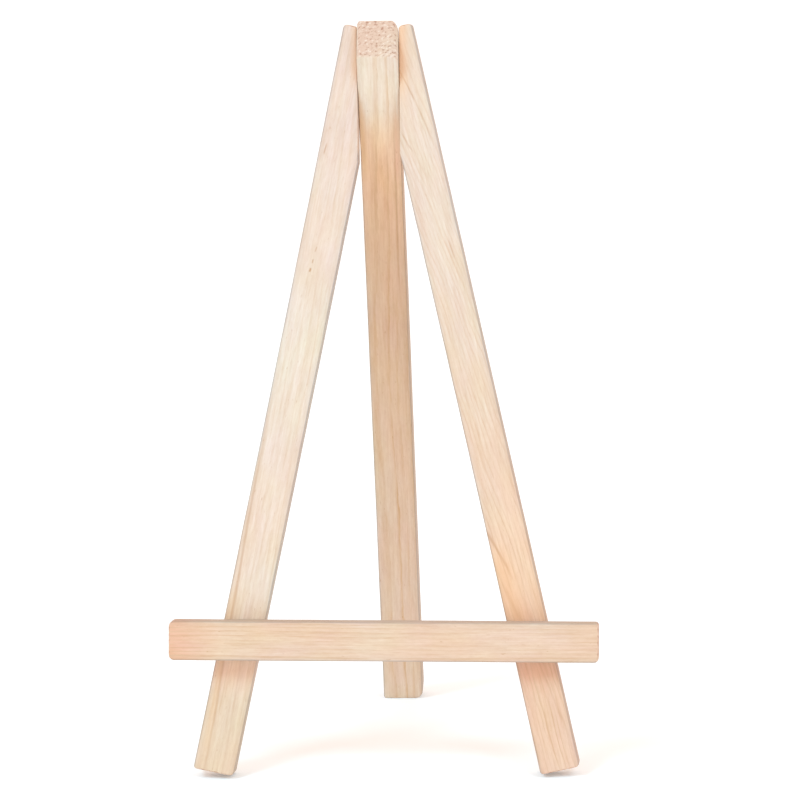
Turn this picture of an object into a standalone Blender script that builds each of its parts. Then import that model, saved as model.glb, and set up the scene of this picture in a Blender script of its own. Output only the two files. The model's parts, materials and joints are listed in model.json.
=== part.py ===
"""Wooden tabletop artist's easel: two front legs, a swinging rear leg and a ledge.

Metres, +Z up, the ledge faces -Y.  The easel stands open, centred on the origin with
its feet on z = 0.  Everything hangs from one frame that leans back with the two front
legs; inside it local X runs across, local Y out of the back and local Z up the slant.
"""

import math

import bmesh
import bpy
from mathutils import Vector

# Pine stock that the legs and the ledge are cut from
STOCK_WIDTH = 0.0125
STOCK_THICKNESS = 0.0080
EDGE_RADIUS = 0.0005
EDGE_SEGMENTS = 3
END_CORNER_RADIUS = 0.0010
CORNER_SEGMENTS = 4
CLEARANCE = 0.0003

# Front legs
FRONT_LEG_LENGTH = 0.2365
FRONT_SPLAY_DEG = 12.17
FRONT_LEAN_DEG = 10.0
FRONT_LEG_TOP_WIDTH = 0.0040

# Rear leg and the pin it swings on
OPEN_ANGLE_DEG = 24.3
PIVOT_BELOW_TOP = 0.0190
REAR_LEG_ABOVE_PIVOT = 0.0113
REAR_TOP_CUT_DEG = 41.5
PIN_DIAMETER = 0.0024
PIN_RECESS = 0.0004
PIN_CHAMFER = 0.0002

# Ledge across the front legs
LEDGE_LENGTH = 0.1334
LEDGE_WIDTH = 0.0122
LEDGE_CENTRE_HEIGHT = 0.0426

# Brads driven from behind through each front leg into the ledge
BRAD_SHANK_DIAMETER = 0.0012
BRAD_HEAD_DIAMETER = 0.0020
BRAD_HEAD_THICKNESS = 0.0006
BRAD_LENGTH = 0.0120
BRAD_HEAD_RECESS = 0.0002
BRAD_POINT_LENGTH = 0.0010
BRAD_RISE = 0.0030
BRAD_STAGGER = 0.0020

ROUND_SIDES = 32
CUTTER_OVERRUN = 0.0020

HALF_WIDTH = STOCK_WIDTH / 2
HALF_THICKNESS = STOCK_THICKNESS / 2
SPLAY = math.radians(FRONT_SPLAY_DEG)
LEAN = math.radians(FRONT_LEAN_DEG)
OPEN_ANGLE = math.radians(OPEN_ANGLE_DEG)
REAR_LEAN = OPEN_ANGLE - LEAN
REAR_TOP_CUT = math.radians(REAR_TOP_CUT_DEG)

# The rear leg's slot between the two vertical bevels on the front legs
SLOT_HALF_WIDTH = HALF_WIDTH + CLEARANCE
# Middle of each front leg's foot, measured across and up the slant
FOOT_ACROSS = (
    SLOT_HALF_WIDTH
    + FRONT_LEG_LENGTH * math.sin(SPLAY)
    - (HALF_WIDTH - FRONT_LEG_TOP_WIDTH) * math.cos(SPLAY)
)
FOOT_HEIGHT = HALF_WIDTH * math.sin(SPLAY)
TOP_HEIGHT = FRONT_LEG_LENGTH * math.cos(SPLAY) + STOCK_WIDTH * math.sin(SPLAY)
PIVOT_HEIGHT = TOP_HEIGHT - PIVOT_BELOW_TOP
BEVEL_LENGTH = (STOCK_WIDTH - FRONT_LEG_TOP_WIDTH) / math.tan(SPLAY)


def clear_scene():
    for obj in list(bpy.data.objects):
        bpy.data.objects.remove(obj, do_unlink=True)


def make_material(name, colour, roughness, metallic):
    material = bpy.data.materials.new(name)
    material.use_nodes = True
    shader = material.node_tree.nodes["Principled BSDF"]
    shader.inputs["Base Color"].default_value = (*colour, 1.0)
    shader.inputs["Roughness"].default_value = roughness
    shader.inputs["Metallic"].default_value = metallic
    return material


def add_object(name, mesh, material, parent, location, rotation=(0.0, 0.0, 0.0)):
    obj = bpy.data.objects.new(name, mesh)
    bpy.context.scene.collection.objects.link(obj)
    if material:
        mesh.materials.clear()
        mesh.materials.append(material)
    obj.parent = parent
    obj.location = location
    obj.rotation_euler = rotation
    return obj


def add_empty(name):
    empty = bpy.data.objects.new(name, None)
    bpy.context.scene.collection.objects.link(empty)
    return empty


def rounded_outline(corners, radius):
    """Replace each corner of a convex outline with an arc of the given radius."""
    points = []
    count = len(corners)
    for index, corner in enumerate(corners):
        here = Vector(corner)
        to_previous = (Vector(corners[index - 1]) - here).normalized()
        to_next = (Vector(corners[(index + 1) % count]) - here).normalized()
        half_angle = to_previous.angle(to_next) / 2
        centre = here + (to_previous + to_next).normalized() * (radius / math.sin(half_angle))
        start = here + to_previous * (radius / math.tan(half_angle)) - centre
        finish = here + to_next * (radius / math.tan(half_angle)) - centre
        sweep = start.angle(finish)
        for step in range(CORNER_SEGMENTS + 1):
            share = step / CORNER_SEGMENTS
            from_start = math.sin((1 - share) * sweep) / math.sin(sweep)
            from_finish = math.sin(share * sweep) / math.sin(sweep)
            points.append(centre + start * from_start + finish * from_finish)
    return points


def prism(name, outline, place_front, place_back):
    """Close the space between two copies of an outline."""
    mesh = bpy.data.meshes.new(name)
    shell = bmesh.new()
    front = [shell.verts.new(place_front(point)) for point in outline]
    back = [shell.verts.new(place_back(point)) for point in outline]
    shell.faces.new(front)
    shell.faces.new(list(reversed(back)))
    count = len(outline)
    for index in range(count):
        after = (index + 1) % count
        shell.faces.new((front[after], front[index], back[index], back[after]))
    bmesh.ops.recalc_face_normals(shell, faces=shell.faces)
    shell.to_mesh(mesh)
    shell.free()
    return mesh


def turned_mesh(name, profile):
    """Turn a (radius, height) profile about local Z; both ends are closed."""
    mesh = bpy.data.meshes.new(name)
    shell = bmesh.new()
    rings = []
    for radius, height in profile:
        ring = []
        for side in range(ROUND_SIDES):
            angle = 2 * math.pi * side / ROUND_SIDES
            ring.append(shell.verts.new((radius * math.cos(angle), radius * math.sin(angle), height)))
        rings.append(ring)
    for lower, upper in zip(rings, rings[1:]):
        for side in range(ROUND_SIDES):
            after = (side + 1) % ROUND_SIDES
            shell.faces.new((lower[side], lower[after], upper[after], upper[side]))
    shell.faces.new(list(reversed(rings[0])))
    shell.faces.new(rings[-1])
    bmesh.ops.recalc_face_normals(shell, faces=shell.faces)
    shell.to_mesh(mesh)
    shell.free()
    return mesh


def shade_round(obj, sharp_deg=30.0):
    for polygon in obj.data.polygons:
        polygon.use_smooth = True
    obj.data.set_sharp_from_angle(angle=math.radians(sharp_deg))


def ease_edges(obj):
    """Take the sharpness off every edge a sanding block would reach."""
    bevel = obj.modifiers.new("eased_edges", "BEVEL")
    bevel.width = EDGE_RADIUS
    bevel.segments = EDGE_SEGMENTS
    bevel.limit_method = "ANGLE"
    bevel.angle_limit = math.radians(40.0)


def drill(obj, cutter):
    cut = obj.modifiers.new("drilled_" + cutter.name, "BOOLEAN")
    cut.operation = "DIFFERENCE"
    cut.solver = "EXACT"
    cut.object = cutter


def add_cutter(name, profile, parent, location, rotation):
    cutter = add_object(name, turned_mesh(name, profile), None, parent, location, rotation)
    cutter.hide_render = True
    cutter.display_type = "WIRE"
    return cutter


def make_front_leg(name, side, material, frame):
    """One leg: square ends and an upright bevel where it meets the rear leg."""
    inner_top = HALF_WIDTH - FRONT_LEG_TOP_WIDTH
    corners = (
        (side * -HALF_WIDTH, 0.0),
        (side * HALF_WIDTH, 0.0),
        (side * HALF_WIDTH, FRONT_LEG_LENGTH),
        (side * inner_top, FRONT_LEG_LENGTH),
        (side * -HALF_WIDTH, FRONT_LEG_LENGTH - BEVEL_LENGTH),
    )
    mesh = prism(
        name,
        rounded_outline(corners, END_CORNER_RADIUS),
        lambda point: (point.x, -HALF_THICKNESS, point.y),
        lambda point: (point.x, HALF_THICKNESS, point.y),
    )
    location = (side * FOOT_ACROSS, HALF_THICKNESS, FOOT_HEIGHT)
    leg = add_object(name, mesh, material, frame, location, (0.0, -side * SPLAY, 0.0))
    shade_round(leg)
    ease_edges(leg)
    return leg


def rear_leg_top(depth):
    """Height of the slanted end cut above the pivot at a depth from the middle plane."""
    return REAR_LEG_ABOVE_PIVOT + (depth + HALF_THICKNESS) / math.tan(REAR_TOP_CUT)


def rear_leg_foot(pivot_above_floor):
    """Length of the rear leg below the pivot that brings its foot down to the floor."""
    inset = HALF_THICKNESS - EDGE_RADIUS
    reach = pivot_above_floor - inset * math.sin(REAR_LEAN) - EDGE_RADIUS
    return EDGE_RADIUS + reach / math.cos(REAR_LEAN)


def make_rear_leg(material, frame, length_below):
    corners = (
        (-HALF_THICKNESS, -length_below),
        (HALF_THICKNESS, -length_below),
        (HALF_THICKNESS, rear_leg_top(HALF_THICKNESS)),
        (-HALF_THICKNESS, rear_leg_top(-HALF_THICKNESS)),
    )
    outline = [Vector(corner) for corner in corners]
    mesh = prism(
        "rear_leg",
        outline,
        lambda point: (-HALF_WIDTH, point.x, point.y),
        lambda point: (HALF_WIDTH, point.x, point.y),
    )
    location = (0.0, HALF_THICKNESS, PIVOT_HEIGHT)
    leg = add_object("rear_leg", mesh, material, frame, location, (OPEN_ANGLE, 0.0, 0.0))
    shade_round(leg)
    ease_edges(leg)
    return leg


def make_ledge(material, frame):
    half_length = LEDGE_LENGTH / 2
    half_width = LEDGE_WIDTH / 2
    corners = (
        (-half_length, -half_width),
        (half_length, -half_width),
        (half_length, half_width),
        (-half_length, half_width),
    )
    mesh = prism(
        "ledge",
        rounded_outline(corners, END_CORNER_RADIUS),
        lambda point: (point.x, -HALF_THICKNESS, point.y),
        lambda point: (point.x, HALF_THICKNESS, point.y),
    )
    location = (0.0, -HALF_THICKNESS - CLEARANCE, LEDGE_CENTRE_HEIGHT)
    ledge = add_object("ledge", mesh, material, frame, location)
    shade_round(ledge)
    ease_edges(ledge)
    return ledge


def outer_edge_across(height):
    """Distance from the middle to a front leg's outer edge at a height up the slant."""
    along = (height - FOOT_HEIGHT - HALF_WIDTH * math.sin(SPLAY)) / math.cos(SPLAY)
    return FOOT_ACROSS + HALF_WIDTH * math.cos(SPLAY) - along * math.sin(SPLAY)


def leg_middle_across(height):
    return FOOT_ACROSS - (height - FOOT_HEIGHT) * math.tan(SPLAY)


def make_pivot_pin(material, frame):
    radius = PIN_DIAMETER / 2
    half_length = outer_edge_across(PIVOT_HEIGHT) - PIN_RECESS
    profile = (
        (radius - PIN_CHAMFER, -half_length),
        (radius, -half_length + PIN_CHAMFER),
        (radius, half_length - PIN_CHAMFER),
        (radius - PIN_CHAMFER, half_length),
    )
    location = (0.0, HALF_THICKNESS, PIVOT_HEIGHT)
    mesh = turned_mesh("pivot_pin", profile)
    pin = add_object("pivot_pin", mesh, material, frame, location, (0.0, math.pi / 2, 0.0))
    shade_round(pin)
    return pin


def make_pin_cutter(frame):
    radius = PIN_DIAMETER / 2 + CLEARANCE
    half_length = outer_edge_across(PIVOT_HEIGHT) + CUTTER_OVERRUN
    profile = ((radius, -half_length), (radius, half_length))
    location = (0.0, HALF_THICKNESS, PIVOT_HEIGHT)
    return add_cutter("pin_hole", profile, frame, location, (0.0, math.pi / 2, 0.0))


def make_brad(name, material, frame, location):
    """A headed brad; local Z points from the tip to the head, out of the leg's back."""
    shank = BRAD_SHANK_DIAMETER / 2
    head = BRAD_HEAD_DIAMETER / 2
    head_base = -BRAD_HEAD_THICKNESS
    profile = (
        (shank * 0.3, -BRAD_LENGTH),
        (shank, -BRAD_LENGTH + BRAD_POINT_LENGTH),
        (shank, head_base - (head - shank)),
        (head, head_base),
        (head, 0.0),
    )
    mesh = turned_mesh(name, profile)
    brad = add_object(name, mesh, material, frame, location, (-math.pi / 2, 0.0, 0.0))
    shade_round(brad)
    return brad


def make_brad_cutter(name, frame, location):
    shank = BRAD_SHANK_DIAMETER / 2 + CLEARANCE
    head = BRAD_HEAD_DIAMETER / 2 + CLEARANCE
    shoulder = -BRAD_HEAD_THICKNESS - CLEARANCE
    profile = (
        (shank, -BRAD_LENGTH - CLEARANCE),
        (shank, shoulder - (head - shank)),
        (head, shoulder),
        (head, CUTTER_OVERRUN),
    )
    return add_cutter(name, profile, frame, location, (-math.pi / 2, 0.0, 0.0))


def fasten_ledge(leg, ledge, side, side_name, material, frame):
    for level, level_name in ((1, "upper"), (-1, "lower")):
        height = LEDGE_CENTRE_HEIGHT + level * BRAD_RISE
        across = side * (leg_middle_across(height) + level * BRAD_STAGGER)
        location = (across, STOCK_THICKNESS - BRAD_HEAD_RECESS, height)
        name = side_name + "_" + level_name + "_brad"
        make_brad(name, material, frame, location)
        cutter = make_brad_cutter(name + "_hole", frame, location)
        drill(leg, cutter)
        drill(ledge, cutter)


def front_foot_drop():
    """How far the eased inner corner of a front foot lies below the frame's origin."""
    up_slant = END_CORNER_RADIUS * (math.cos(SPLAY) + math.sin(SPLAY))
    up_slant -= END_CORNER_RADIUS - EDGE_RADIUS
    back = STOCK_THICKNESS - EDGE_RADIUS
    return up_slant * math.cos(LEAN) - back * math.sin(LEAN) - EDGE_RADIUS


def centre_on_floor(frame, pieces, lift):
    """Put the middle of the easel's footprint at the origin, feet on z = 0."""
    frame.location = (0.0, 0.0, lift)
    bpy.context.view_layer.update()
    reach = [(piece.matrix_world @ Vector(corner)).y for piece in pieces for corner in piece.bound_box]
    frame.location = (0.0, -(min(reach) + max(reach)) / 2, lift)


def main():
    clear_scene()
    front_pine = make_material("pine_front_legs", (0.78, 0.63, 0.48), 0.6, 0.0)
    ledge_pine = make_material("pine_ledge", (0.76, 0.56, 0.41), 0.6, 0.0)
    rear_pine = make_material("pine_rear_leg", (0.70, 0.48, 0.31), 0.6, 0.0)
    steel = make_material("bright_steel", (0.62, 0.62, 0.60), 0.35, 1.0)

    frame = add_empty("front_frame")
    frame.rotation_euler = (-LEAN, 0.0, 0.0)
    lift = -front_foot_drop()
    pivot_above_floor = PIVOT_HEIGHT * math.cos(LEAN) - HALF_THICKNESS * math.sin(LEAN) + lift

    left_leg = make_front_leg("left_front_leg", -1, front_pine, frame)
    right_leg = make_front_leg("right_front_leg", 1, front_pine, frame)
    rear_leg = make_rear_leg(rear_pine, frame, rear_leg_foot(pivot_above_floor))
    ledge = make_ledge(ledge_pine, frame)
    make_pivot_pin(steel, frame)

    pin_cutter = make_pin_cutter(frame)
    for stick in (left_leg, right_leg, rear_leg):
        drill(stick, pin_cutter)
    fasten_ledge(left_leg, ledge, -1, "left", steel, frame)
    fasten_ledge(right_leg, ledge, 1, "right", steel, frame)

    centre_on_floor(frame, (left_leg, right_leg, rear_leg, ledge), lift)


main()
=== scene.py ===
"""Looks of the wooden tabletop easel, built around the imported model."""

import json
import math

import bpy
from mathutils import Matrix, Vector, noise

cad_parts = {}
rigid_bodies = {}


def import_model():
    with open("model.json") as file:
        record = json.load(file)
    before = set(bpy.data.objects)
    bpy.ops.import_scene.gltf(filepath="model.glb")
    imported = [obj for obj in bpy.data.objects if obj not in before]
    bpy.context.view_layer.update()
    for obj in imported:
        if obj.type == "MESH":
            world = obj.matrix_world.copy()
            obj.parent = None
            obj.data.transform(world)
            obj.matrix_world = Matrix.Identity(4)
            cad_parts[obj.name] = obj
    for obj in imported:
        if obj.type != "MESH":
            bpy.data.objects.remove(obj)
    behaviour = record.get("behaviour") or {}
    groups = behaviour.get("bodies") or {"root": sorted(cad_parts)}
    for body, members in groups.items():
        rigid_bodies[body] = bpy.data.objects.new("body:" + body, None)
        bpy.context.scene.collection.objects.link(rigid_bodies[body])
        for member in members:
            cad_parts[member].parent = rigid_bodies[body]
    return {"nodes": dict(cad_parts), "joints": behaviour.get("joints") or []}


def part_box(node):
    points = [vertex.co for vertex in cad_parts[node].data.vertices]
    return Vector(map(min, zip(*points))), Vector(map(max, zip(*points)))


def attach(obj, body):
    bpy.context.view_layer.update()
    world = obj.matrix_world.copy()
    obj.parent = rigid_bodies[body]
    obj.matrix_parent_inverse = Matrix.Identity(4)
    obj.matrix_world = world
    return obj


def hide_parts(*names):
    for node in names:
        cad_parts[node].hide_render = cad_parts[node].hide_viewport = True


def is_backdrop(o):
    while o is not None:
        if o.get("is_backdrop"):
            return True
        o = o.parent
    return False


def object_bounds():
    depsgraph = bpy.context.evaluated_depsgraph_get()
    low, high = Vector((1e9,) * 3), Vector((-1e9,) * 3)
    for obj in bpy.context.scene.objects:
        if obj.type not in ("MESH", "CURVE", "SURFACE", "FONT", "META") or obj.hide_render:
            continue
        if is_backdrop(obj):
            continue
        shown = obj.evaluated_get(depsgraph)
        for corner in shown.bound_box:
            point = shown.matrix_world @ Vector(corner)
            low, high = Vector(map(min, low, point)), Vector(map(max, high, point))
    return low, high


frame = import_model()
CAD_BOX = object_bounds()

MM = 0.001

# The easel's own sizes, as in its CAD model
STOCK_WIDTH = 12.5 * MM
STOCK_THICKNESS = 8.0 * MM
FRONT_LEG_LENGTH = 236.5 * MM
FRONT_SPLAY = math.radians(12.17)
FRONT_LEAN = math.radians(10.0)
FRONT_LEG_TOP_WIDTH = 4.0 * MM
OPEN_ANGLE = math.radians(24.3)
PIVOT_BELOW_TOP = 19.0 * MM
REAR_LEG_ABOVE_PIVOT = 11.3 * MM
REAR_TOP_CUT = math.radians(41.5)
LEDGE_LENGTH = 133.4 * MM
LEDGE_WIDTH = 12.2 * MM
CLEARANCE = 0.3 * MM

HALF_WIDTH = STOCK_WIDTH / 2
HALF_THICKNESS = STOCK_THICKNESS / 2
FOOT_ACROSS = (
    HALF_WIDTH
    + CLEARANCE
    + FRONT_LEG_LENGTH * math.sin(FRONT_SPLAY)
    - (HALF_WIDTH - FRONT_LEG_TOP_WIDTH) * math.cos(FRONT_SPLAY)
)
FOOT_HEIGHT = HALF_WIDTH * math.sin(FRONT_SPLAY)
LEG_TOP_HEIGHT = FRONT_LEG_LENGTH * math.cos(FRONT_SPLAY) + STOCK_WIDTH * math.sin(FRONT_SPLAY)
BEVEL_LENGTH = (STOCK_WIDTH - FRONT_LEG_TOP_WIDTH) / math.tan(FRONT_SPLAY)

# How this easel's sticks stray from the nominal ones: the bevels fill part of the clearance,
# two sticks are swollen, the left leg is bowed, the right leg's inner side is hollow, and
# the ledge droops to the right
SNUG_FIT = 0.05 * MM
REAR_SWELL = 0.15 * MM
LEFT_SWELL = 0.30 * MM
LEFT_BOW = 0.30 * MM
RIGHT_HOLLOW = 0.35 * MM
LEDGE_DROOP = math.radians(0.68)
BEVEL_START = FRONT_LEG_LENGTH - BEVEL_LENGTH + SNUG_FIT / math.tan(FRONT_SPLAY)

# Holes: how loose they are, how long the pin's is, and how far a brad's reaches
HOLE_SLACK = 0.03 * MM
PIN_HOLE_LENGTH = 60.0 * MM
BRAD_HOLE_LENGTH = 12.0 * MM
BRAD_HOLE_SHIFT = 4.0 * MM

# How the sticks are meshed
CORNER_STEPS = 5
WIDE_STEPS = 8
NARROW_STEPS = 5
SECTION_SPACING = 2.5 * MM
END_STEPS = 6
CAP_SHARES = (0.86, 0.68, 0.48, 0.26)
HOLE_SIDES = 40
SHARP_ANGLE = math.radians(35.0)
# How far down from the top the sections tilt towards a slanting cut
CUT_REACH = 30.0 * MM

# How worn and uneven the sticks are, and over what distance that changes.  Corners are
# those of the low and the high side, at the foot and then at the top.
EDGE_RADIUS = 0.5 * MM
LEFT_LEG_CORNERS = (1.0 * MM, 1.7 * MM, 1.3 * MM, 1.1 * MM)
RIGHT_LEG_CORNERS = (1.2 * MM, 1.4 * MM, 1.0 * MM, 1.2 * MM)
REAR_LEG_CORNERS = (0.8 * MM, 2.7 * MM, 1.3 * MM, 2.7 * MM)
LEDGE_CORNERS = (1.7 * MM, 1.7 * MM, 1.1 * MM, 1.4 * MM)
EDGE_VARIATION = 0.35
EDGE_VARIES_OVER = 14.0 * MM
FACE_UNEVENNESS = 0.035 * MM
FACE_VARIES_OVER = 9.0 * MM
CAP_UNEVENNESS = 0.05 * MM
CAP_VARIES_OVER = 1.1 * MM

# How steep a face is where it starts to cut across the fibres, and how soon it does wholly
END_STEEPNESS = 0.35
END_STEEPNESS_SPAN = 0.2
# Painted edge shade: the tilt at which a rounded edge is fully greyed, and how grey the narrow sides are
EDGE_FULL_TILT = 0.5
SIDE_TILT = 0.7
SIDE_PAINTED_SHADE = 0.8
# The rear leg is covered by the bevels from this far below the pivot up, and a face that is
# turned at least this much to its neighbour gets no painted shade
CHEEK_LENGTH = 20.0 * MM
COVERED_TILT = 0.15


# ---------------------------------------------------------------- shapes


def rounded_rectangle(low_x, high_x, half_y, radius):
    """Points round a section, anticlockwise from the front face's high end."""
    # Each corner's centre, where its arc starts, and the steps along the flat that follows
    corners = (
        (high_x - radius, -half_y + radius, -math.pi / 2, NARROW_STEPS),
        (high_x - radius, half_y - radius, 0.0, WIDE_STEPS),
        (low_x + radius, half_y - radius, math.pi / 2, NARROW_STEPS),
        (low_x + radius, -half_y + radius, math.pi, WIDE_STEPS),
    )
    arcs = []
    for x, y, start, _ in corners:
        turns = [start + step / CORNER_STEPS * math.pi / 2 for step in range(CORNER_STEPS + 1)]
        arcs.append([Vector((x + radius * math.cos(turn), y + radius * math.sin(turn))) for turn in turns])
    points = []
    for index, arc in enumerate(arcs):
        after = arcs[(index + 1) % len(arcs)][0]
        steps = corners[index][3]
        points += arc
        points += [arc[-1].lerp(after, step / steps) for step in range(1, steps)]
    return points


def quarter_inset(distance, radius):
    """How far a rounded corner draws in at a distance from the end."""
    if distance >= radius:
        return 0.0
    return radius - math.sqrt(max(0.0, radius**2 - (radius - distance) ** 2))


def section_heights(length, rounding, marks=()):
    """Heights of a stick's sections: close together at both ends and at the marks."""
    ends = [rounding * (1 - math.cos(step / END_STEPS * math.pi / 2)) for step in range(END_STEPS + 1)]
    count = round((length - 2 * rounding) / SECTION_SPACING)
    middle = [rounding + (length - 2 * rounding) * step / count for step in range(1, count)]
    gap = EDGE_RADIUS / 2
    near_marks = [mark + offset for mark in marks for offset in (-gap, 0.0, gap)]
    middle = [height for height in middle if all(abs(height - mark) > 2 * gap for mark in marks)]
    return sorted(ends + middle + near_marks + [length - height for height in ends])


def unevenness(point, seed, distance, size):
    """A smooth bump field, different for each seed."""
    return size * noise.noise(Vector(point) / distance + Vector((seed, -seed, seed * 0.5)))


def square_cut(depth):
    """How far a square top end stands above the stick's length, at a depth."""
    return 0.0


def stick_sections(length, seed, corners, low, high, top, marks):
    """The points of a stick's sections, ring after ring from foot to top."""
    rings = []
    for height in section_heights(length, max(corners), marks):
        to_end = min(height, length - height)
        pair = corners[:2] if height < length / 2 else corners[2:]
        draw_low, draw_high = (quarter_inset(to_end, radius) for radius in pair)
        half_y = HALF_THICKNESS - quarter_inset(to_end, EDGE_RADIUS)
        wear = 1 + EDGE_VARIATION * noise.noise(Vector((seed, height / EDGE_VARIES_OVER, 0.0)))
        radius = min(EDGE_RADIUS * wear, half_y)
        tilt = max(0.0, 1 - (length - height) / CUT_REACH)
        ring = []
        for x, y in rounded_rectangle(low(height) + draw_low, high(height) - draw_high, half_y, radius):
            point = Vector((x, y, height + top(y) * tilt))
            outward = Vector((x, y, 0.0)).normalized()
            bump = unevenness(point, seed, FACE_VARIES_OVER, FACE_UNEVENNESS)
            ring.append(point + outward * bump)
        rings.append(ring)
    return rings


def faces_between(lower, upper):
    """Faces that join two rings of vertex numbers."""
    count = len(lower)
    pairs = [(column, (column + 1) % count) for column in range(count)]
    return [(lower[here], lower[after], upper[after], upper[here]) for here, after in pairs]


def close_end(vertices, ring, seed, is_top):
    """Add rings that shrink to the end's middle, uneven as a saw leaves it; return faces."""
    outline = [vertices[number] for number in ring]
    count = len(outline)
    centre = sum(outline, Vector()) / count
    faces = []
    for share in CAP_SHARES:
        inner_ring = []
        for point in outline:
            inner = centre.lerp(point, share)
            inner.z += unevenness(inner, seed + 3, CAP_VARIES_OVER, CAP_UNEVENNESS)
            inner_ring.append(len(vertices))
            vertices.append(inner)
        faces += faces_between(ring, inner_ring)
        ring = inner_ring
    middle = len(vertices)
    vertices.append(centre)
    faces += [(ring[column], ring[(column + 1) % count], middle) for column in range(count)]
    return faces if is_top else [tuple(reversed(face)) for face in faces]


def stick_mesh(name, length, seed, corners, low, high, top=square_cut, marks=()):
    """A planed stick along Z, from 0 to its length, with worn edges and sawn ends.

    low and high give the section's sides at a height, top the height of the upper end's cut
    above the length at a depth, and marks the heights at which a side turns.
    """
    sections = stick_sections(length, seed, corners, low, high, top, marks)
    vertices = [point for section in sections for point in section]
    count = len(sections[0])
    rings = [list(range(row * count, (row + 1) * count)) for row in range(len(sections))]
    faces = []
    for lower, upper in zip(rings, rings[1:]):
        faces += faces_between(lower, upper)
    faces += close_end(vertices, rings[0], seed, False)
    faces += close_end(vertices, rings[-1], seed, True)
    mesh = bpy.data.meshes.new(name)
    mesh.from_pydata(vertices, [], faces)
    mesh.update()
    return mesh


def add_piece(name, mesh, matrix, body, node, material):
    """Place a mesh as the piece that stands for a CAD node."""
    piece = bpy.data.objects.new(name, mesh)
    bpy.context.scene.collection.objects.link(piece)
    piece.matrix_world = matrix
    mesh.materials.append(material)
    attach(piece, body)
    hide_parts(node)
    return piece


def cut_holes(piece, holes):
    """Drill round holes, given as (centre, axis, radius, length) in the shared frame."""
    for centre, axis, radius, length in holes:
        bpy.ops.mesh.primitive_cylinder_add(vertices=HOLE_SIDES, radius=radius, depth=length)
        cutter = bpy.context.object
        turn = axis.to_track_quat("Z", "Y").to_matrix().to_4x4()
        cutter.matrix_world = Matrix.Translation(centre) @ turn
        bpy.context.view_layer.update()
        cut = piece.modifiers.new("hole", "BOOLEAN")
        cut.operation = "DIFFERENCE"
        cut.solver = "EXACT"
        cut.object = cutter
        depsgraph = bpy.context.evaluated_depsgraph_get()
        drilled = bpy.data.meshes.new_from_object(piece.evaluated_get(depsgraph))
        drilled.name = piece.data.name
        piece.modifiers.clear()
        piece.data = drilled
        bpy.data.objects.remove(cutter)


def never_covered(place, normal):
    """The test for a stick whose narrow sides are all in the open."""
    return False


def finish_wood(piece, covered=never_covered):
    """Shade smooth, and mark the faces that cut across the fibres and the painted edge shade.

    covered tells where a neighbour lies against the stick, so that no shade is painted there.
    """
    mesh = piece.data
    for polygon in mesh.polygons:
        polygon.use_smooth = True
    mesh.set_sharp_from_angle(angle=SHARP_ANGLE)
    across = mesh.attributes.new("across_fibres", "FLOAT", "POINT")
    edges = mesh.attributes.new("painted_edge_shade", "FLOAT", "POINT")
    for vertex in mesh.vertices:
        nx, ny, nz = (abs(part) for part in vertex.normal)
        steepness = (nz - END_STEEPNESS) / END_STEEPNESS_SPAN
        across.data[vertex.index].value = min(1.0, max(0.0, steepness))
        rounded = 0.0 if nz > END_STEEPNESS else min(1.0, min(nx, ny) / EDGE_FULL_TILT)
        side = SIDE_PAINTED_SHADE if nx > SIDE_TILT else 0.0
        greyed = 0.0 if covered(vertex.co, vertex.normal) else max(rounded, side)
        edges.data[vertex.index].value = greyed


# ---------------------------------------------------------------- materials

# Wood colours
# Grey of the painted shade on rounded edges and narrow sides
EDGE_SHADE_GREY = (0.65, 0.70, 0.77)
RESIN = (0.42, 0.21, 0.09)
# Warm streak tints; some of their streaks are painted warm shade
PAINTED_WARM_SHADE = (0.78, 0.44, 0.30)
HONEY_AND_WARM_SHADE = (0.80, 0.52, 0.26)
AMBER_AND_WARM_SHADE = (0.80, 0.47, 0.26)
END_WOOD = (0.63, 0.445, 0.345)
TORN_FIBRES = (0.80, 0.72, 0.64)
PITS = (0.36, 0.17, 0.11)
WHITE = (1.0, 1.0, 1.0)
# Tints the early wood is multiplied by: slow drifts to straw, and patches between two limits
STRAW = (1.0, 0.955, 0.91)
PATCH_LOWEST = (0.97, 0.955, 0.93)
PATCH_RANGE = (0.06, 0.09, 0.14)

# How the rings' pith line drifts ever faster up the stick
DRIFT_POWER = 1.7
# Where in a year the late wood starts, and where it stops short; how steeply it darkens
LATE_START = 0.30
LATE_STOP = 0.92
LATE_POWER = 2.2
# How much streaks tilt with the rings, across the stick for its depth, and how much of
# their length they fade over
STREAK_TILT = 0.25
STREAK_FADE = 0.25
FLECK_STRENGTH = 0.35

# Each kind of fibre: its width and length, the noise's detail and roughness, its weight
FINE_FIBRES = (0.28 * MM, 9.0 * MM, 3.0, 0.6)
MIDDLING_FIBRES = (0.75 * MM, 11.0 * MM, 2.0, 0.6)
COARSE_FIBRES = (1.9 * MM, 28.0 * MM, 2.0, 0.55)
BROKEN_FIBRES = (0.45 * MM, 1.9 * MM, 2.0, 0.6)
FINE_WEIGHT = 0.18
MIDDLING_WEIGHT = 0.34
COARSE_WEIGHT = 0.18
BROKEN_WEIGHT = 0.20
# With this added, fibres leave the wood's colour as it is on average
FIBRE_BASE = 0.55
# Dark fibres are redder than pale ones
RED_POWER = 0.6
BLUE_POWER = 1.4

# Speckles on cut ends: the angle of their rows, their stretch over the stick's depth, and
# their length and width
END_ROW_ANGLE = math.radians(24.0)
END_STRETCH = 1.5
SPECKLE_SIZE = (1.3 * MM, 0.75 * MM, MM)
TORN_STRENGTH = 0.60
PIT_STRENGTH = 0.75

# Blender's numbers for the colour inputs and output of a mix node
MIX_FIRST = 6
MIX_SECOND = 7
MIX_RESULT = 2


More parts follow.
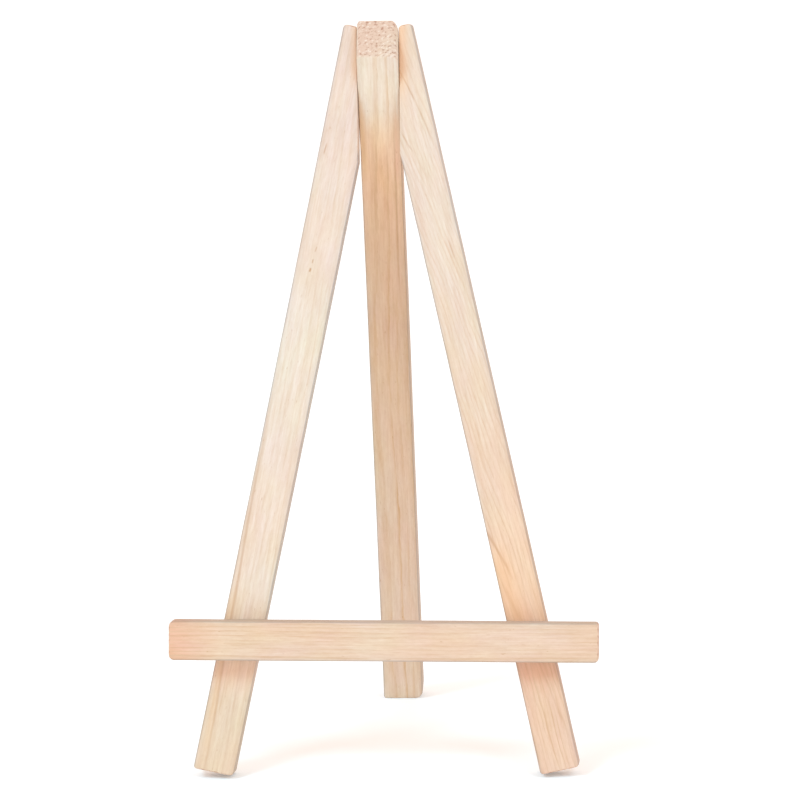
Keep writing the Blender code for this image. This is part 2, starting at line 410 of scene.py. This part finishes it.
class Nodes:
    """Adds nodes to a material and links them to their inputs."""

    def __init__(self, name):
        self.material = bpy.data.materials.new(name)
        self.material.use_nodes = True
        self.tree = self.material.node_tree
        self.shader = self.tree.nodes["Principled BSDF"]

    def feed(self, socket, value):
        if isinstance(value, bpy.types.NodeSocket):
            self.tree.links.new(value, socket)
        elif value is not None:
            socket.default_value = value

    def add(self, kind, inputs=(), output=0, **settings):
        node = self.tree.nodes.new(kind)
        for key, value in settings.items():
            setattr(node, key, value)
        for key, value in dict(inputs).items():
            self.feed(node.inputs[key], value)
        return node.outputs[output]

    def math(self, operation, first, second=None, third=None):
        return self.add("ShaderNodeMath", {0: first, 1: second, 2: third}, operation=operation)

    def vector(self, operation, first, second=None):
        return self.add("ShaderNodeVectorMath", {0: first, 1: second}, operation=operation)

    def stretch(self, vector, sizes):
        """Coordinates in units of the given sizes, in metres."""
        return self.vector("DIVIDE", vector, sizes)

    def noise(self, vector, detail=2.0, roughness=0.5, output="Fac"):
        inputs = {"Vector": vector, "Scale": 1.0, "Detail": detail, "Roughness": roughness}
        return self.add("ShaderNodeTexNoise", inputs, output)

    def ramp(self, value, start, end, low=0.0, high=1.0):
        inputs = {"Value": value, "From Min": start, "From Max": end, "To Min": low, "To Max": high}
        return self.add("ShaderNodeMapRange", inputs, interpolation_type="SMOOTHSTEP")

    def mix(self, share, first, second, blend="MIX"):
        node = self.tree.nodes.new("ShaderNodeMix")
        node.data_type = "RGBA"
        node.blend_type = blend
        self.feed(node.inputs["Factor"], share)
        self.feed(node.inputs[MIX_FIRST], first)
        self.feed(node.inputs[MIX_SECOND], second)
        return node.outputs[MIX_RESULT]

    def colour(self, rgb):
        return (*rgb, 1.0)

    def colour_ramp(self, value, stops):
        """A colour that changes with a value; stops are (value, rgb) in rising order."""
        node = self.tree.nodes.new("ShaderNodeValToRGB")
        ramp = node.color_ramp
        ramp.interpolation = "CARDINAL"
        while len(ramp.elements) < len(stops):
            ramp.elements.new(0.5)
        for element, (position, rgb) in zip(ramp.elements, stops):
            element.position = position
            element.color = self.colour(rgb)
        self.feed(node.inputs[0], value)
        return node.outputs[0]

    def object_place(self):
        """Coordinates in the piece's own axes."""
        return self.add("ShaderNodeTexCoord", output="Object")

    def bump(self, relief, strength, distance):
        inputs = {"Height": relief, "Strength": strength, "Distance": distance}
        self.feed(self.shader.inputs["Normal"], self.add("ShaderNodeBump", inputs, "Normal"))


class WoodNodes(Nodes):
    """Nodes of one stick's wood, whose noises differ with the seed."""

    def __init__(self, name, seed):
        super().__init__(name)
        self.place = self.object_place()
        self.offset = (seed * 1.37, seed * 2.11, seed * 0.73)

    def field(self, width, length, detail=1.0, roughness=0.5, output="Fac"):
        """Noise drawn out along the fibres."""
        stretched = self.stretch(self.place, (width, width, length))
        return self.noise(self.vector("ADD", stretched, self.offset), detail, roughness, output)


def stray_fibres(n, wander):
    """Across, depth and height as the fibres see them: slow bends, then finer ripples."""
    bends = (
        (n.field(34 * MM, 75 * MM, output="Color"), wander),
        (n.field(5 * MM, 17 * MM, 2.0, output="Color"), 0.16 * wander),
        (n.field(0.9 * MM, 5 * MM, 2.0, output="Color"), 0.30 * MM),
    )
    bent = n.place
    for bend, size in bends:
        centred = n.vector("SUBTRACT", bend, (0.5, 0.5, 0.5))
        bent = n.vector("ADD", bent, n.vector("MULTIPLY", centred, (size, size, 0.0)))
    axes = n.tree.nodes.new("ShaderNodeSeparateXYZ")
    n.feed(axes.inputs[0], bent)
    return [axes.outputs[axis] for axis in "XYZ"]


def growth_rings(n, across, depth, along, pith, drift, ring_width):
    """How far through its year each ring is, and a number from 0 to 1 for each year."""
    gone = n.math("POWER", n.math("MAXIMUM", along, 0.0), DRIFT_POWER)
    squares = []
    for place, start, change in ((across, pith[0], drift[0]), (depth, pith[1], drift[1])):
        from_pith = n.math("SUBTRACT", place, n.math("MULTIPLY_ADD", gone, change, start))
        squares.append(n.math("POWER", from_pith, 2.0))
    rings = n.math("DIVIDE", n.math("SQRT", n.math("ADD", *squares)), ring_width)
    spacing = {"W": rings, "Scale": 0.45, "Detail": 1.0}
    uneven = n.add("ShaderNodeTexNoise", spacing, noise_dimensions="1D")
    rings = n.math("ADD", rings, uneven)
    year = n.add("ShaderNodeTexWhiteNoise", {"W": n.math("FLOOR", rings)}, noise_dimensions="1D")
    return n.math("FRACT", rings), year


def late_wood(n, phase, year, along, lines_top, lines_foot):
    """How dark the late wood is: each ring darkens outwards and stops short."""
    rise = n.math("POWER", n.ramp(phase, LATE_START, LATE_STOP), LATE_POWER)
    stop = n.ramp(phase, LATE_STOP, 1.0, 1.0, 0.0)
    by_year = n.math("MULTIPLY_ADD", year, 0.6, 0.5)
    patchy = n.ramp(n.field(5 * MM, 20 * MM, 2.0), 0.3, 0.7, 0.35, 1.25)
    by_height = n.ramp(along, 0.0, 1.0, lines_foot, lines_top)
    late = n.math("MULTIPLY", rise, stop)
    for share in (by_year, patchy, by_height):
        late = n.math("MULTIPLY", late, share)
    return late


def streak_share(n, tilted, height, upper, lower, half_width, strength):
    """How strongly a streak between two points (across, height) shows on the front face."""
    (top_x, top_z), (foot_x, foot_z) = upper, lower
    slope = (top_x - foot_x) / (top_z - foot_z)
    at_zero = foot_x - slope * foot_z - STREAK_TILT * HALF_THICKNESS
    line = n.math("MULTIPLY_ADD", height, slope, at_zero)
    away = n.math("ABSOLUTE", n.math("SUBTRACT", tilted, line))
    fade = STREAK_FADE * (top_z - foot_z)
    above_foot = n.ramp(height, foot_z - fade, foot_z + fade)
    below_top = n.ramp(height, top_z + fade, top_z - fade)
    inside = n.math("MULTIPLY", above_foot, below_top)
    streak = n.math("MULTIPLY", n.ramp(away, half_width, 0.0), inside)
    return n.math("MULTIPLY", streak, strength)


def early_wood(n, along, early):
    """The early wood's colour along the stick, with slow drifts and patches."""
    base = n.colour_ramp(along, early)
    drifts = n.ramp(n.field(14 * MM, 40 * MM), 0.3, 0.7)
    drift_tint = n.mix(drifts, n.colour(WHITE), n.colour(STRAW))
    colour = n.mix(1.0, base, drift_tint, "MULTIPLY")
    patches = n.vector("MULTIPLY", n.field(5 * MM, 13 * MM, 2.0, output="Color"), PATCH_RANGE)
    return n.mix(1.0, colour, n.vector("ADD", patches, PATCH_LOWEST), "MULTIPLY")


def fibre_tint(n, fine, middling, coarse):
    """The fibres' light and dark, as a tint."""
    broken = n.field(*BROKEN_FIBRES)
    middling_part = n.math("MULTIPLY", middling, MIDDLING_WEIGHT)
    fibres = n.math("MULTIPLY_ADD", fine, FINE_WEIGHT, middling_part)
    fibres = n.math("MULTIPLY_ADD", coarse, COARSE_WEIGHT, fibres)
    fibres = n.math("MULTIPLY_ADD", broken, BROKEN_WEIGHT, fibres)
    grey = n.math("ADD", fibres, FIBRE_BASE)
    red = n.math("POWER", grey, RED_POWER)
    blue = n.math("POWER", grey, BLUE_POWER)
    return n.add("ShaderNodeCombineColor", {"Red": red, "Green": grey, "Blue": blue})


def cut_end(n, colour, across, depth):
    """A cut end's colour, and where its pits are.

    It is pinkest towards the back and the low side, with pits and torn bright fibres in
    slanting rows.
    """
    sine, cosine = math.sin(END_ROW_ANGLE), math.cos(END_ROW_ANGLE)
    deep = n.math("MULTIPLY", depth, END_STRETCH)
    row_x = n.math("MULTIPLY_ADD", deep, sine, n.math("MULTIPLY", across, cosine))
    row_y = n.math("MULTIPLY_ADD", deep, cosine, n.math("MULTIPLY", across, -sine))
    row_place = n.add("ShaderNodeCombineXYZ", {"X": row_x, "Y": row_y, "Z": 0.0})
    speckle = n.noise(n.stretch(row_place, SPECKLE_SIZE), 2.5, 0.6)
    pits = n.ramp(speckle, 0.47, 0.33)
    torn = n.ramp(speckle, 0.55, 0.68)
    to_back = n.math("MULTIPLY_ADD", across, -0.7, depth)
    pinkness = n.ramp(to_back, -8 * MM, 3 * MM, 0.25, 0.95)
    end_colour = n.mix(pinkness, colour, n.colour(END_WOOD))
    end_colour = n.mix(n.math("MULTIPLY", torn, TORN_STRENGTH), end_colour, n.colour(TORN_FIBRES))
    end_colour = n.mix(n.math("MULTIPLY", pits, PIT_STRENGTH), end_colour, n.colour(PITS))
    return end_colour, pits


def pine(name, seed, length, pith, drift, ring_width, wander, early, late, lines, streaks=()):
    """Solid pine: growth rings about a pith line that passes beside the stick.

    pith is the pith's place across the stick at its foot and drift how far it moves over
    the stick's length, so that the rings run out of the faces; wander is how far the fibres
    stray.  early gives the early wood's colour at shares of the length, some stops painting
    warm shade or lit wood, late the late wood's, and lines how strong that is at the top
    and at the foot.  Each streak is (across, height) at its upper and its lower end, half
    its width, its strength and its colour; some streaks are painted shade.
    """
    n = WoodNodes(name, seed)
    across, depth, height = stray_fibres(n, wander)
    along = n.math("DIVIDE", height, length)
    phase, year = growth_rings(n, across, depth, along, pith, drift, ring_width)
    latewood = late_wood(n, phase, year, along, *lines)
    fine = n.field(*FINE_FIBRES)
    middling = n.field(*MIDDLING_FIBRES)
    coarse = n.field(*COARSE_FIBRES)

    colour = n.mix(latewood, early_wood(n, along, early), n.colour(late))
    colour = n.mix(1.0, colour, fibre_tint(n, fine, middling, coarse), "MULTIPLY")
    flecks = n.math("MULTIPLY", n.ramp(n.field(0.45 * MM, 2.0 * MM), 0.73, 0.80), FLECK_STRENGTH)
    colour = n.mix(flecks, colour, n.colour(RESIN))
    tilted = n.math("MULTIPLY_ADD", depth, STREAK_TILT, across)
    for upper, lower, half_width, strength, stain_and_painted_shade in streaks:
        share = streak_share(n, tilted, height, upper, lower, half_width, strength)
        colour = n.mix(share, colour, n.colour(stain_and_painted_shade))

    end = n.add("ShaderNodeAttribute", {}, "Fac", attribute_name="across_fibres")
    end_colour, pits = cut_end(n, colour, across, depth)
    colour = n.mix(end, colour, end_colour)

    # Painted shade: rounded edges and narrow sides are darkened grey, unevenly
    edge = n.add("ShaderNodeAttribute", {}, "Fac", attribute_name="painted_edge_shade")
    edge = n.math("MULTIPLY", edge, n.ramp(coarse, 0.25, 0.65, 0.75, 1.0))
    colour = n.mix(edge, colour, n.mix(1.0, colour, n.colour(EDGE_SHADE_GREY), "MULTIPLY"))
    n.feed(n.shader.inputs["Base Color"], colour)

    # Bare sanded wood, a little smoother on the late wood and rougher on cut ends
    roughness = n.math("MULTIPLY_ADD", middling, 0.16, 0.55)
    roughness = n.math("MULTIPLY_ADD", latewood, -0.12, roughness)
    roughness = n.math("MULTIPLY_ADD", end, 0.15, roughness)
    n.feed(n.shader.inputs["Roughness"], roughness)
    n.shader.inputs["Specular IOR Level"].default_value = 0.3

    # Late wood and fibres stand proud, flecks are sunk, and cut ends show the saw's marks
    relief = n.math("MULTIPLY_ADD", fine, 0.6, middling)
    relief = n.math("MULTIPLY_ADD", latewood, 0.5, relief)
    relief = n.math("MULTIPLY_ADD", flecks, -0.4, relief)
    saw_marks = n.noise(n.stretch(n.place, (2.5 * MM, 0.35 * MM, 2.5 * MM)))
    end_relief = n.math("SUBTRACT", saw_marks, pits)
    relief = n.math("MULTIPLY_ADD", end, n.math("SUBTRACT", end_relief, relief), relief)
    n.bump(relief, 0.6, 0.06 * MM)
    return n.material


def steel(name):
    """Drawn steel wire, a little stained."""
    n = Nodes(name)
    place = n.object_place()
    drawn = n.noise(n.stretch(place, (0.08 * MM, 0.08 * MM, 2.0 * MM)), 3.0)
    stain_and_painted_shade = n.noise(n.stretch(place, (0.7 * MM, 0.7 * MM, 0.7 * MM)), 3.0)
    bright, dull = n.colour((0.60, 0.59, 0.57)), n.colour((0.42, 0.38, 0.34))
    n.feed(n.shader.inputs["Base Color"], n.mix(n.ramp(stain_and_painted_shade, 0.4, 0.7), bright, dull))
    n.shader.inputs["Metallic"].default_value = 1.0
    n.feed(n.shader.inputs["Roughness"], n.math("MULTIPLY_ADD", drawn, 0.25, 0.25))
    n.bump(drawn, 0.4, 0.02 * MM)
    return n.material


pine_left = pine(
    "pine_left_leg",
    seed=3.0,
    length=FRONT_LEG_LENGTH,
    pith=(27.0 * MM, 22.0 * MM),
    drift=(-12.0 * MM, 3.0 * MM),
    ring_width=1.3 * MM,
    wander=2.6 * MM,
    early=(
        (0.0, (0.675, 0.53, 0.395)),
        (0.1, (0.665, 0.525, 0.395)),
        # Painted shade: the stop at 0.14 is the warm shadow under the ledge
        (0.14, (0.77, 0.555, 0.425)),
        (0.2, (0.74, 0.58, 0.45)),
        (0.25, (0.72, 0.62, 0.51)),
        (0.3, (0.7, 0.58, 0.475)),
        (0.43, (0.69, 0.567, 0.475)),
        (0.5, (0.685, 0.597, 0.495)),
        (0.8, (0.68, 0.56, 0.485)),
        (0.9, (0.675, 0.535, 0.445)),
        (1.0, (0.67, 0.53, 0.435)),
    ),
    late=(0.60, 0.43, 0.29),
    lines=(0.25, 0.45),
    streaks=(
        ((-4.9 * MM, 108 * MM), (-3.2 * MM, 4 * MM), 0.75 * MM, 0.40, RESIN),
        ((-4.3 * MM, 199 * MM), (-4.5 * MM, 196 * MM), 0.40 * MM, 0.55, RESIN),
        ((-0.9 * MM, 167.2 * MM), (-1.1 * MM, 165.6 * MM), 0.38 * MM, 0.45, RESIN),
        ((-1.2 * MM, 163.2 * MM), (-1.3 * MM, 162.0 * MM), 0.42 * MM, 0.55, RESIN),
        ((-1.4 * MM, 160.4 * MM), (-1.5 * MM, 159.2 * MM), 0.50 * MM, 0.80, RESIN),
        ((1.0 * MM, 60 * MM), (2.2 * MM, 6 * MM), 0.45 * MM, 0.18, RESIN),
        ((-2.5 * MM, 240 * MM), (1.2 * MM, 220 * MM), 2.8 * MM, 0.48, AMBER_AND_WARM_SHADE),
        ((-5.0 * MM, 60 * MM), (-4.0 * MM, 10 * MM), 1.6 * MM, 0.18, HONEY_AND_WARM_SHADE),
    ),
)
pine_right = pine(
    "pine_right_leg",
    seed=8.0,
    length=FRONT_LEG_LENGTH,
    pith=(70.0 * MM, 14.0 * MM),
    drift=(-32.0 * MM, 4.0 * MM),
    ring_width=1.25 * MM,
    wander=9.0 * MM,
    early=(
        (0.0, (0.7, 0.495, 0.375)),
        (0.1, (0.7, 0.49, 0.36)),
        # Painted shade: the stop at 0.14 is the warm shadow under the ledge
        (0.14, (0.73, 0.47, 0.34)),
        (0.25, (0.735, 0.53, 0.375)),
        (0.4, (0.69, 0.525, 0.41)),
        (0.55, (0.68, 0.545, 0.435)),
        (0.8, (0.68, 0.565, 0.475)),
        (1.0, (0.67, 0.535, 0.43)),
    ),
    late=(0.57, 0.36, 0.22),
    lines=(0.35, 0.60),
    streaks=(
        ((-0.3 * MM, 224 * MM), (2.6 * MM, 213 * MM), 0.45 * MM, 0.50, RESIN),
        ((3.0 * MM, 211 * MM), (5.0 * MM, 200 * MM), 0.40 * MM, 0.32, RESIN),
        ((-3.7 * MM, 204 * MM), (-1.6 * MM, 198 * MM), 0.40 * MM, 0.32, RESIN),
        ((-5.3 * MM, 80 * MM), (-1.2 * MM, 63 * MM), 0.60 * MM, 0.45, RESIN),
        ((3.5 * MM, 168 * MM), (3.8 * MM, 163 * MM), 0.45 * MM, 0.35, RESIN),
        ((-3.8 * MM, 60 * MM), (-1.5 * MM, 48 * MM), 0.90 * MM, 0.30, RESIN),
        ((-0.5 * MM, 47 * MM), (3.2 * MM, 12 * MM), 0.55 * MM, 0.25, RESIN),
        # Painted shadow cast by the rear leg's proud top on this leg, warm orange
        ((4.2 * MM, 246 * MM), (-1.2 * MM, 216 * MM), 3.8 * MM, 0.60, AMBER_AND_WARM_SHADE),
        ((-4.0 * MM, 70 * MM), (-2.0 * MM, 44 * MM), 5.5 * MM, 0.38, AMBER_AND_WARM_SHADE),
        # Painted warm shadow under the ledge
        ((0.0, 37 * MM), (0.0, 30 * MM), 9.0 * MM, 0.30, PAINTED_WARM_SHADE),
    ),
)
pine_rear = pine(
    "pine_rear_leg",
    seed=14.0,
    length=FRONT_LEG_LENGTH,
    pith=(-13.0 * MM, 42.0 * MM),
    drift=(1.0 * MM, 0.0),
    ring_width=0.95 * MM,
    wander=1.4 * MM,
    early=(
        (0.0, (0.675, 0.525, 0.4)),
        (0.13, (0.665, 0.505, 0.385)),
        (0.28, (0.68, 0.535, 0.42)),
        (0.42, (0.675, 0.517, 0.377)),
        (0.6, (0.675, 0.507, 0.37)),
        # Painted light and shade: from 0.744 to 0.86 the warm orange of the shade the front legs cast,
        # paler above as where the top is lit
        (0.744, (0.765, 0.55, 0.38)),
        (0.82, (0.84, 0.6, 0.415)),
        (0.86, (0.8, 0.625, 0.46)),
        (0.89, (0.725, 0.615, 0.505)),
        (1.0, (0.67, 0.58, 0.485)),
    ),
    late=(0.56, 0.34, 0.17),
    lines=(0.40, 0.70),
    streaks=(
        ((4.4 * MM, 205 * MM), (4.2 * MM, 150 * MM), 0.55 * MM, 0.35, RESIN),
        # Painted warm shade beside both seams, where the rear leg drops behind the front legs
        ((-5.6 * MM, 213 * MM), (-5.2 * MM, 190 * MM), 1.8 * MM, 0.50, HONEY_AND_WARM_SHADE),
        ((5.6 * MM, 210 * MM), (5.2 * MM, 188 * MM), 1.8 * MM, 0.40, PAINTED_WARM_SHADE),
        ((4.8 * MM, 175 * MM), (4.4 * MM, 105 * MM), 2.4 * MM, 0.10, RESIN),
    ),
)
pine_ledge = pine(
    "pine_ledge",
    seed=21.0,
    length=LEDGE_LENGTH,
    pith=(52.0 * MM, 12.0 * MM),
    drift=(-1.0 * MM, 3.0 * MM),
    ring_width=1.15 * MM,
    wander=2.4 * MM,
    early=(
        (0.0, (0.675, 0.425, 0.295)),
        (0.05, (0.67, 0.455, 0.33)),
        (0.13, (0.68, 0.53, 0.405)),
        (0.24, (0.665, 0.498, 0.375)),
        (0.4, (0.67, 0.505, 0.385)),
        (0.49, (0.675, 0.525, 0.41)),
        (0.63, (0.665, 0.493, 0.373)),
        (0.8, (0.68, 0.512, 0.393)),
        (1.0, (0.66, 0.485, 0.355)),
    ),
    late=(0.58, 0.38, 0.24),
    lines=(0.65, 0.65),
)
bright_steel = steel("bright_steel")


# ---------------------------------------------------------------- the easel

joint = frame["joints"][0]
pivot = Vector(joint["pos_m"])
FRAME_BODY = joint["parent"]
REAR_BODY = joint["child"]
lean = Matrix.Rotation(-FRONT_LEAN, 4, "X")
up = lean @ Vector((0.0, 0.0, 1.0))
back = lean @ Vector((0.0, 1.0, 0.0))
foot_line = pivot - up * (LEG_TOP_HEIGHT - PIVOT_BELOW_TOP)

pin_low, pin_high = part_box("pivot_pin")
pin_radius = (pin_high.z - pin_low.z) / 2
pin_hole = (pivot, Vector((1.0, 0.0, 0.0)), pin_radius + HOLE_SLACK, PIN_HOLE_LENGTH)


def middle_of(node):
    low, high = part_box(node)
    return (low + high) / 2


def brad_hole(brad):
    """A hole from the leg's back that takes a brad's head."""
    low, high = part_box(brad)
    radius = (high.x - low.x) / 2 + HOLE_SLACK
    return (middle_of(brad) + back * BRAD_HOLE_SHIFT, back, radius, BRAD_HOLE_LENGTH)


def bevel(height):
    """The slant cut that meets the rear leg, as a distance from the leg's middle."""
    return HALF_WIDTH - (height - BEVEL_START) * math.tan(FRONT_SPLAY)


def arch(rise, height):
    """A gentle arch over a front leg's length."""
    return rise * math.sin(math.pi * height / FRONT_LEG_LENGTH)


def left_low(height):
    return arch(LEFT_BOW, height) - HALF_WIDTH


def left_high(height):
    return min(HALF_WIDTH + LEFT_SWELL + arch(LEFT_BOW, height), bevel(height))


def right_low(height):
    return -min(HALF_WIDTH - arch(RIGHT_HOLLOW, height), bevel(height))


def right_high(height):
    return HALF_WIDTH


def front_leg(side, side_name, corners, low, high, excess, material):
    """A front leg; excess is how far its inner side is outside the nominal stock."""
    node = side_name + "_front_leg"
    turn_height = BEVEL_START - excess / math.tan(FRONT_SPLAY)
    mesh = stick_mesh(
        node + "_wood", FRONT_LEG_LENGTH, 5.0 + side, corners, low, high, marks=(turn_height,)
    )
    foot = foot_line + Vector((side * FOOT_ACROSS, 0.0, 0.0)) + up * FOOT_HEIGHT
    matrix = Matrix.Translation(foot) @ lean @ Matrix.Rotation(-side * FRONT_SPLAY, 4, "Y")
    leg = add_piece(node + "_wood", mesh, matrix, FRAME_BODY, node, material)
    brads = [brad_hole(side_name + "_" + level + "_brad") for level in ("upper", "lower")]
    cut_holes(leg, [pin_hole] + brads)

    def covered(place, normal):
        return place.z > BEVEL_START and normal.x * side < -COVERED_TILT

    finish_wood(leg, covered)


def rear_cut(depth):
    """The rear leg's slanting top, which rises towards the back."""
    return (depth + HALF_THICKNESS) / math.tan(REAR_TOP_CUT)


def rear_low(height):
    return -HALF_WIDTH - REAR_SWELL


def rear_high(height):
    return HALF_WIDTH + REAR_SWELL


def rear_leg(material):
    """The rear leg, long enough for its rounded foot to reach the floor."""
    turn = lean @ Matrix.Rotation(OPEN_ANGLE, 4, "X")
    along_leg = turn @ Vector((0.0, 0.0, 1.0))
    slant = OPEN_ANGLE - FRONT_LEAN
    heel = (HALF_THICKNESS - EDGE_RADIUS) * math.sin(slant)
    below_pivot = EDGE_RADIUS + (pivot.z - heel - EDGE_RADIUS) / math.cos(slant)
    length = below_pivot + REAR_LEG_ABOVE_PIVOT
    mesh = stick_mesh("rear_leg_wood", length, 11.0, REAR_LEG_CORNERS, rear_low, rear_high, rear_cut)
    matrix = Matrix.Translation(pivot - along_leg * below_pivot) @ turn
    leg = add_piece("rear_leg_wood", mesh, matrix, REAR_BODY, "rear_leg", material)
    cut_holes(leg, [pin_hole])

    def covered(place, normal):
        return place.z > below_pivot - CHEEK_LENGTH and abs(normal.x) > COVERED_TILT

    finish_wood(leg, covered)


def ledge_low(height):
    return -LEDGE_WIDTH / 2


def ledge_high(height):
    return LEDGE_WIDTH / 2


def ledge(material):
    """The ledge, set half the clearance closer to the legs than its CAD node."""
    mesh = stick_mesh("ledge_wood", LEDGE_LENGTH, 17.0, LEDGE_CORNERS, ledge_low, ledge_high)
    # Turns the stick's height to +X, its low side up and its front face to the front
    lay_down = Matrix.Rotation(math.pi / 2, 4, "Y")
    from_middle = Matrix.Translation((-LEDGE_LENGTH / 2, 0.0, 0.0))
    middle = Matrix.Translation(middle_of("ledge") + back * CLEARANCE / 2)
    matrix = middle @ lean @ Matrix.Rotation(LEDGE_DROOP, 4, "Y") @ from_middle @ lay_down
    piece = add_piece("ledge_wood", mesh, matrix, FRAME_BODY, "ledge", material)
    finish_wood(piece)


left_excess = LEFT_SWELL + arch(LEFT_BOW, BEVEL_START)
right_excess = -arch(RIGHT_HOLLOW, BEVEL_START)
front_leg(-1, "left", LEFT_LEG_CORNERS, left_low, left_high, left_excess, pine_left)
front_leg(1, "right", RIGHT_LEG_CORNERS, right_low, right_high, right_excess, pine_right)
rear_leg(pine_rear)
ledge(pine_ledge)

for node, cad in frame["nodes"].items():
    if "brad" in node or node == "pivot_pin":
        for material_slot in cad.material_slots:
            material_slot.material = bright_steel


# ---------------------------------------------------------------- studio

FLOOR_SIZE = 12.0
FLOOR_COLOUR = (0.90, 0.94, 0.97, 1.0)
FLOOR_GLOW = (0.75, 0.92, 1.0, 1.0)
FLOOR_GLOW_STRENGTH = 0.14
WORLD_COLOUR = (1.0, 0.80, 0.69)
WORLD_STRENGTH = 1.08
SOFTBOX_COLOUR = (0.42, 0.80, 1.0)
SOFTBOX_DISTANCE = 4.0
SOFTBOX_SIZE = 1.4
LIT_HEIGHT = 0.12
SENSOR_WIDTH = 36.0
# From the middle of the CAD's box to the point in the middle of the picture
AIM_OFFSET = Vector((5.0 * MM, -18.3 * MM, -1.95 * MM))


def pale_floor():
    bpy.ops.mesh.primitive_plane_add(size=FLOOR_SIZE, location=(0.0, 0.0, 0.0))
    floor = bpy.context.object
    floor.name = "studio_floor"
    n = Nodes("studio_floor")
    n.shader.inputs["Base Color"].default_value = FLOOR_COLOUR
    n.shader.inputs["Roughness"].default_value = 0.9
    n.shader.inputs["Emission Color"].default_value = FLOOR_GLOW
    n.shader.inputs["Emission Strength"].default_value = FLOOR_GLOW_STRENGTH
    floor.data.materials.append(n.material)
    floor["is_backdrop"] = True


def direction_to(azimuth, elevation):
    """The direction from the easel to a point round it; azimuth 0 is straight in front."""
    a, e = math.radians(azimuth), math.radians(elevation)
    return Vector((math.sin(a) * math.cos(e), -math.cos(a) * math.cos(e), math.sin(e)))


def softbox(name, azimuth, elevation, power):
    """A square area light that faces the easel."""
    light = bpy.data.lights.new(name, "AREA")
    light.size = SOFTBOX_SIZE
    light.energy = power
    light.color = SOFTBOX_COLOUR
    lamp = bpy.data.objects.new(name, light)
    bpy.context.scene.collection.objects.link(lamp)
    direction = direction_to(azimuth, elevation)
    lamp.location = Vector((0.0, 0.0, LIT_HEIGHT)) + direction * SOFTBOX_DISTANCE
    lamp.rotation_euler = direction.to_track_quat("Z", "Y").to_euler()


def soft_world():
    world = bpy.data.worlds.new("studio")
    bpy.context.scene.world = world
    world.use_nodes = True
    background = world.node_tree.nodes["Background"]
    background.inputs["Color"].default_value = (*WORLD_COLOUR, 1.0)
    background.inputs["Strength"].default_value = WORLD_STRENGTH


def camera(azimuth, elevation, roll, distance, lens, aim):
    """A camera that looks at a point, from a distance in metres, with a lens in mm."""
    away = direction_to(azimuth, elevation)
    a, r = math.radians(azimuth), math.radians(roll)
    right = Vector((math.cos(a), math.sin(a), 0.0))
    over = away.cross(right)
    x_axis = right * math.cos(r) + over * math.sin(r)
    y_axis = over * math.cos(r) - right * math.sin(r)
    data = bpy.data.cameras.new("camera")
    data.lens = lens
    data.sensor_width = SENSOR_WIDTH
    obj = bpy.data.objects.new("camera", data)
    bpy.context.scene.collection.objects.link(obj)
    matrix = Matrix((x_axis, y_axis, away)).transposed().to_4x4()
    matrix.translation = aim + away * distance
    obj.matrix_world = matrix
    bpy.context.scene.camera = obj


pale_floor()
soft_world()
softbox("left_softbox", azimuth=-42.0, elevation=42.0, power=68.0)
softbox("right_softbox", azimuth=40.0, elevation=40.0, power=34.0)
bpy.context.scene.view_settings.view_transform = "Standard"

low, high = CAD_BOX
aim = (Vector(low) + Vector(high)) / 2 + AIM_OFFSET
camera(azimuth=3.7, elevation=12.8, roll=-1.3, distance=1.661, lens=239.4, aim=aim)

low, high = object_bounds()
